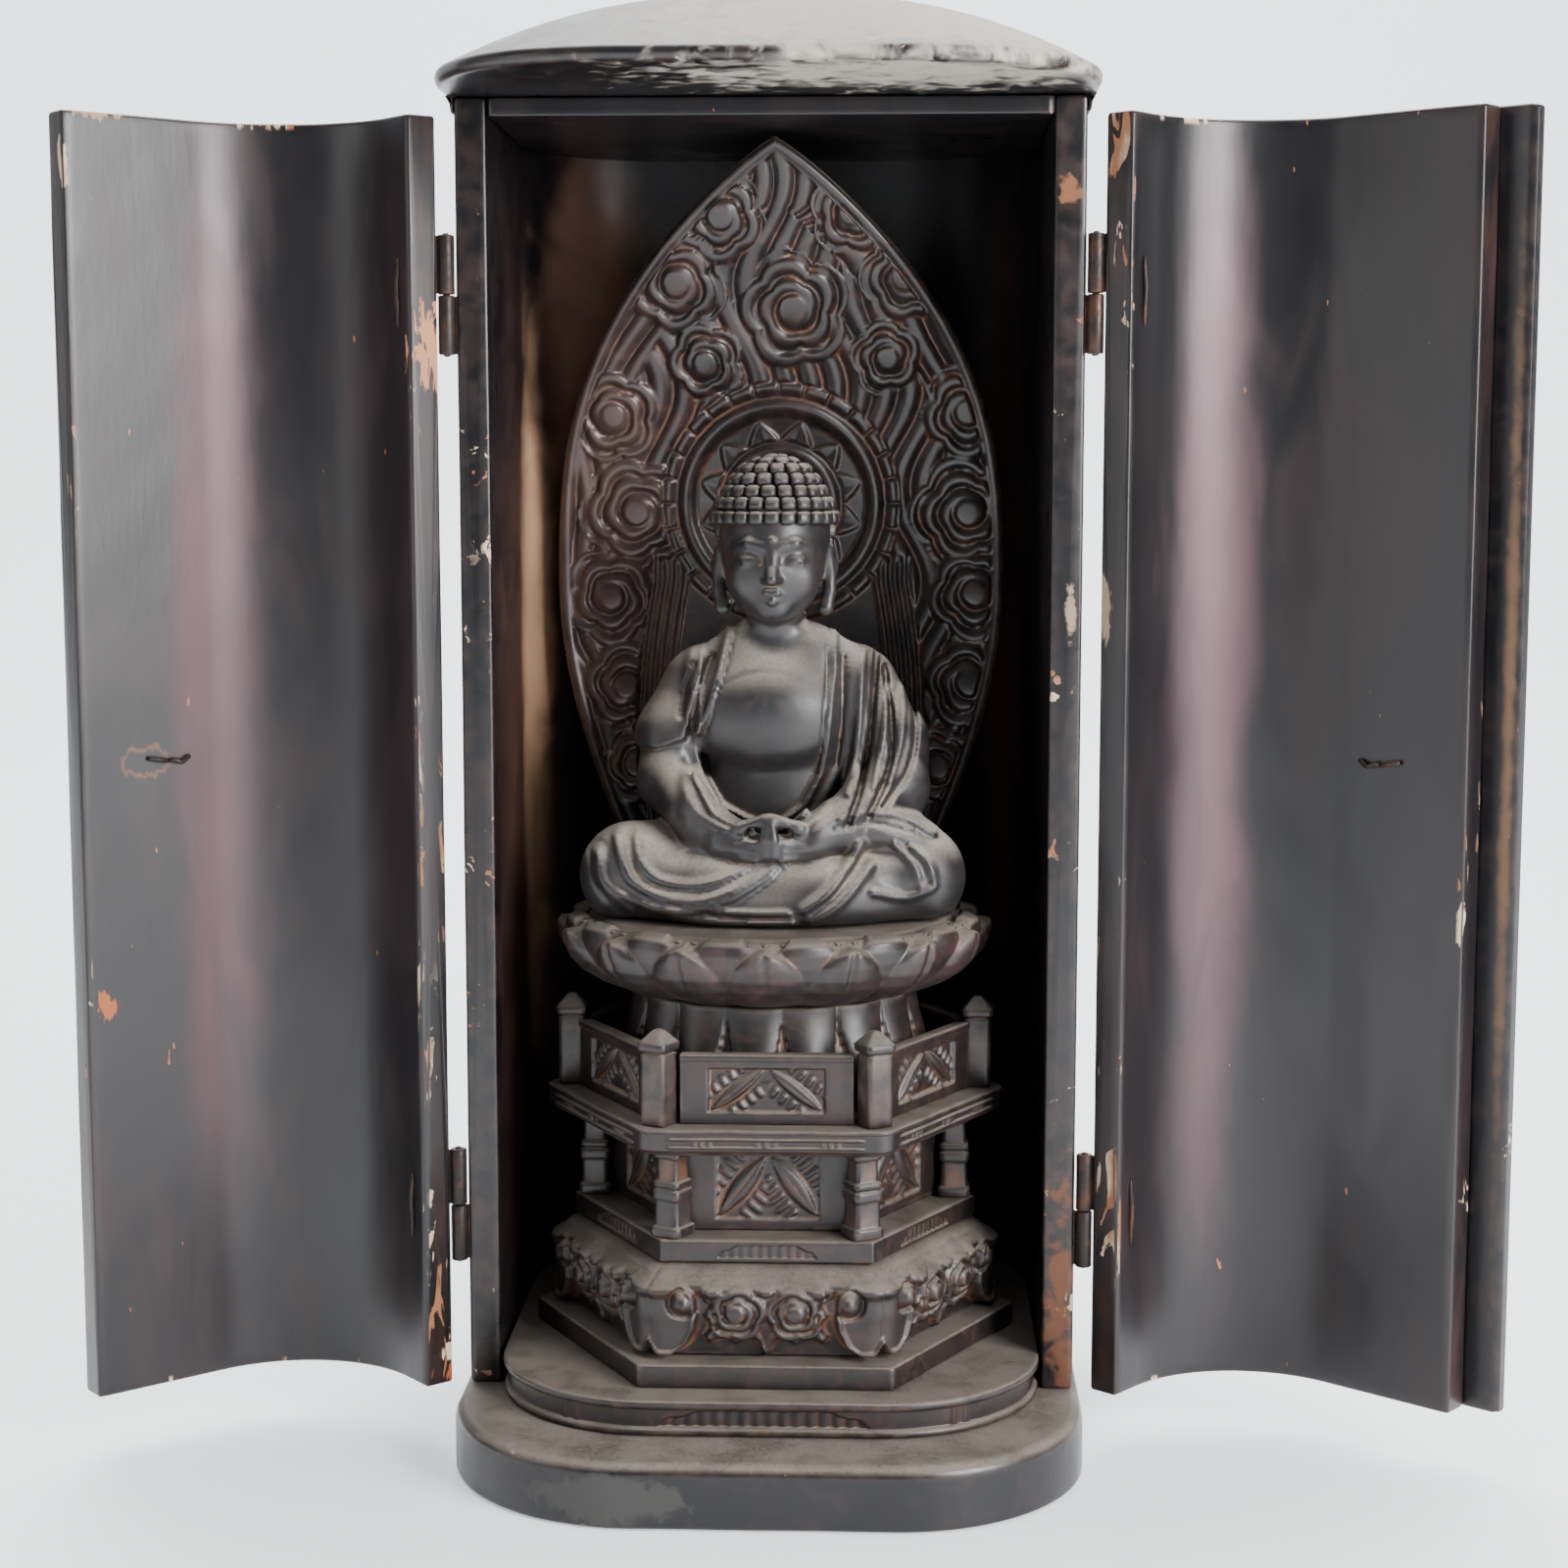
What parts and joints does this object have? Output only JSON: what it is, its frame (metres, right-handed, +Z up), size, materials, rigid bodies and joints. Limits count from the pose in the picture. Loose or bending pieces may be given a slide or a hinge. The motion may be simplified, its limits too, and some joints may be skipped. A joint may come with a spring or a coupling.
{
  "type": "folding shrine box",
  "caption": "Lacquered wooden shrine box with curved hinged doors, domed roof, and a carved seated figure on a lotus pedestal before a flame-shaped halo.",
  "frame": {"origin": "centre of the base's underside", "axes": "+Z up, -Y the side the doors open to, +X the viewer's right"},
  "size_m": [0.3628, 0.169, 0.3714],
  "materials": {
    "black_lacquer": "old black lacquer on wood, semi-gloss, chipped to primer along its edges",
    "inner_lacquer": "thin black lacquer worn to a plum-brown sheen, semi-gloss",
    "carved_lacquer": "carved wood under aged dark lacquer, copper-brown in the recesses, dusty on top",
    "hinge_iron": "dark iron, lacquered over and worn"
  },
  "bodies": {
    "cabinet": {"base": "black_lacquer", "dais": "carved_lacquer", "shell": "black_lacquer", "ceiling_board": "inner_lacquer", "roof": "black_lacquer", "hinge_lower_left_shell_leaf": "hinge_iron", "hinge_lower_left_pin": "hinge_iron", "hinge_upper_left_shell_leaf": "hinge_iron", "hinge_upper_left_pin": "hinge_iron", "hinge_lower_right_shell_leaf": "hinge_iron", "hinge_lower_right_pin": "hinge_iron", "hinge_upper_right_shell_leaf": "hinge_iron", "hinge_upper_right_pin": "hinge_iron", "pedestal_foot": "carved_lacquer", "scroll_base": "carved_lacquer", "lower_plate": "carved_lacquer", "waist_core": "carved_lacquer", "waist_column_1": "carved_lacquer", "waist_column_2": "carved_lacquer", "waist_column_3": "carved_lacquer", "waist_column_4": "carved_lacquer", "waist_column_5": "carved_lacquer", "waist_column_6": "carved_lacquer", "platform": "carved_lacquer", "rail_panel_1": "carved_lacquer", "rail_panel_2": "carved_lacquer", "rail_panel_3": "carved_lacquer", "rail_panel_4": "carved_lacquer", "rail_panel_5": "carved_lacquer", "rail_panel_6": "carved_lacquer", "rail_post_1": "carved_lacquer", "rail_post_2": "carved_lacquer", "rail_post_3": "carved_lacquer", "rail_post_4": "carved_lacquer", "rail_post_5": "carved_lacquer", "rail_post_6": "carved_lacquer", "reverse_lotus_ring": "carved_lacquer", "lotus_seat": "carved_lacquer", "figure": "carved_lacquer", "flame_halo": "carved_lacquer"},
    "left_door": {"door_left": "inner_lacquer", "latch_staple_left": "hinge_iron", "hinge_lower_left_door_leaf": "hinge_iron", "hinge_upper_left_door_leaf": "hinge_iron"},
    "right_door": {"door_right": "inner_lacquer", "meeting_strip": "black_lacquer", "latch_staple_right": "hinge_iron", "hinge_lower_right_door_leaf": "hinge_iron", "hinge_upper_right_door_leaf": "hinge_iron"}
  },
  "joints": [
    {"name": "left_door_hinge", "type": "hinge", "parent": "cabinet", "child": "left_door", "pos_m": [-0.0809, -0.02635, 0], "axis": [0, 0, 1], "range_deg": [-36, 139.4]},
    {"name": "right_door_hinge", "type": "hinge", "parent": "cabinet", "child": "right_door", "pos_m": [0.0809, -0.02635, 0], "axis": [0, 0, 1], "range_deg": [-140.1, 35]}
  ]
}
